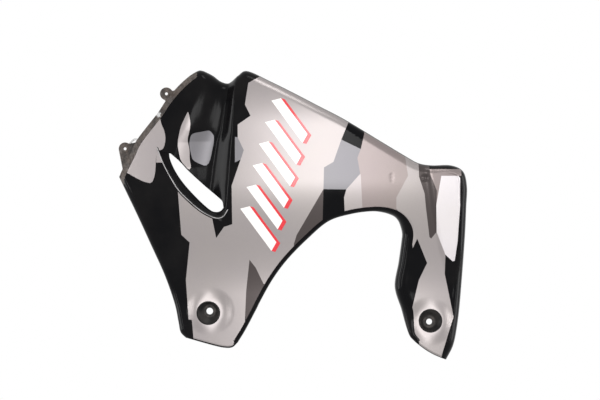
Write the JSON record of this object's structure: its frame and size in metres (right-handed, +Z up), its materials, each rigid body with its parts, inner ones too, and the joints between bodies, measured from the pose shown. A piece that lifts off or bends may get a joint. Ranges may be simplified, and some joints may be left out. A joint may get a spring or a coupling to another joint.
{
  "type": "motorcycle fairing",
  "caption": "Left side cowl of a dual-sport motorcycle: thin moulded shell arching over the engine, with air scoop, lipped vent, screw flange, dished fixing holes and splinter camouflage film.",
  "frame": {"origin": "centre of the bore in the front grommet, at the bottom of the front leg", "axes": "+X to the rear of the motorcycle, +Z up, outer face towards -Y"},
  "size_m": [0.6283, 0.0833, 0.5219],
  "materials": {
    "panel": "gloss black",
    "grommet": "matt black",
    "silver_film": "metallic silver, clear coated",
    "grey_film": "metallic grey, clear coated",
    "light_taupe_film": "metallic taupe, clear coated",
    "dark_taupe_film": "metallic dark taupe, clear coated",
    "pale_film": "pale silver, clear coated",
    "white_film": "gloss white",
    "red_film": "gloss red"
  },
  "bodies": {
    "root": {"panel": "panel", "front_grommet": "grommet", "rear_grommet": "grommet", "silver_film": "silver_film", "grey_film": "grey_film", "light_taupe_film": "light_taupe_film", "dark_taupe_film": "dark_taupe_film", "pale_film": "pale_film", "white_film": "white_film", "red_film": "red_film"}
  },
  "joints": []
}
